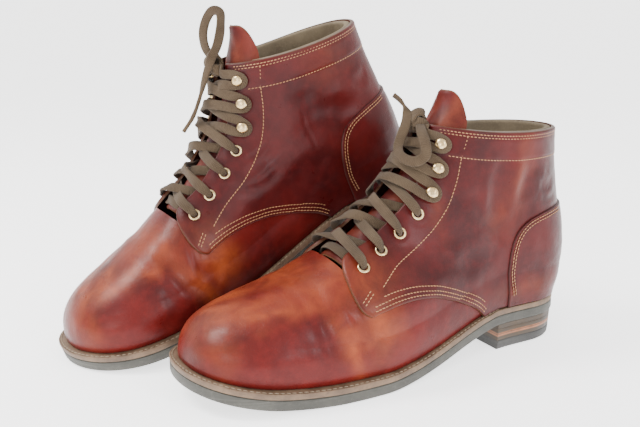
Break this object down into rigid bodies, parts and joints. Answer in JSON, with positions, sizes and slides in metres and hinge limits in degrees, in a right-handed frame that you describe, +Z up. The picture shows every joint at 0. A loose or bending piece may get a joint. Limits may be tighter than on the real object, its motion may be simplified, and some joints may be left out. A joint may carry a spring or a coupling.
{
  "type": "pair of lace-up leather boots",
  "caption": "Pair of ankle-high lace-up leather boots with welted soles, stacked heels, eyelets and speed hooks; one boot stands flat, the other is tipped forward on its toe.",
  "frame": {"origin": "on the floor, under the middle of the pair's plan box (measured without the free lace bows)", "axes": "+Z up, -Y the way the toes point, +X towards the left boot's outer side"},
  "size_m": [0.224, 0.366, 0.2475],
  "materials": {
    "upper_leather": "pull-up leather, semi-gloss, oxblood with orange-brown pull-up at the creases",
    "quarter_leather": "pull-up leather, semi-gloss, oxblood",
    "counter_leather": "pull-up leather, semi-gloss, oxblood",
    "tongue_leather": "leather, satin, oxblood",
    "lining": "soft olive-brown lining leather, matt",
    "insole": "vegetable-tanned board, matt",
    "cork": "granulated cork, matt",
    "shank": "plain steel strip",
    "welt": "stitched welt, tan-brown, satin",
    "outsole": "dark grey-olive, matt",
    "heel_stack": "stacked leather, dark brown, burnished",
    "top_lift": "dark grey, matt",
    "brass": "antique brass, polished on the high spots",
    "lace": "flat woven taupe cord, matt"
  },
  "bodies": {
    "left_boot": {"left_vamp": "upper_leather", "left_quarter_lateral": "quarter_leather", "left_quarter_medial": "quarter_leather", "left_heel_cover": "counter_leather", "left_lining": "lining", "left_outsole": "outsole", "left_welt": "welt", "left_cork_filler": "cork", "left_shank": "shank", "left_insole": "insole", "left_heel_stack": "heel_stack", "left_top_lift": "top_lift", "left_lace_knot": "lace", "left_lace": "lace", "left_lace_bow": "lace", "left_eyelet_lateral_1": "brass", "left_eyelet_lateral_2": "brass", "left_eyelet_lateral_3": "brass", "left_eyelet_lateral_4": "brass", "left_eyelet_medial_1": "brass", "left_eyelet_medial_2": "brass", "left_eyelet_medial_3": "brass", "left_eyelet_medial_4": "brass", "left_hook_lateral_1": "brass", "left_hook_lateral_2": "brass", "left_hook_lateral_3": "brass", "left_hook_medial_1": "brass", "left_hook_medial_2": "brass", "left_hook_medial_3": "brass"},
    "left_tongue": {"left_tongue": "tongue_leather"},
    "right_boot": {"right_vamp": "upper_leather", "right_quarter_lateral": "quarter_leather", "right_quarter_medial": "quarter_leather", "right_heel_cover": "counter_leather", "right_lining": "lining", "right_outsole": "outsole", "right_welt": "welt", "right_cork_filler": "cork", "right_shank": "shank", "right_insole": "insole", "right_heel_stack": "heel_stack", "right_top_lift": "top_lift", "right_lace_knot": "lace", "right_lace": "lace", "right_lace_bow": "lace", "right_eyelet_lateral_1": "brass", "right_eyelet_lateral_2": "brass", "right_eyelet_lateral_3": "brass", "right_eyelet_lateral_4": "brass", "right_eyelet_medial_1": "brass", "right_eyelet_medial_2": "brass", "right_eyelet_medial_3": "brass", "right_eyelet_medial_4": "brass", "right_hook_lateral_1": "brass", "right_hook_lateral_2": "brass", "right_hook_lateral_3": "brass", "right_hook_medial_1": "brass", "right_hook_medial_2": "brass", "right_hook_medial_3": "brass"},
    "right_tongue": {"right_tongue": "tongue_leather"}
  },
  "joints": [
    {"name": "right_boot_tilt", "type": "hinge", "parent": "left_boot", "child": "right_boot", "pos_m": [-0.0525, -0.13374, 0], "axis": [1, 0, 0], "range_deg": [-19.5, 0]},
    {"name": "left_tongue_fold", "type": "hinge", "parent": "left_boot", "child": "left_tongue", "pos_m": [0.0525, -0.01806, 0.082], "axis": [-1, 0, 0], "range_deg": [0, 12]},
    {"name": "right_tongue_fold", "type": "hinge", "parent": "right_boot", "child": "right_tongue", "pos_m": [-0.0525, -0.09411, 0.10102], "axis": [-1, 0, 0], "range_deg": [0, 12]}
  ]
}
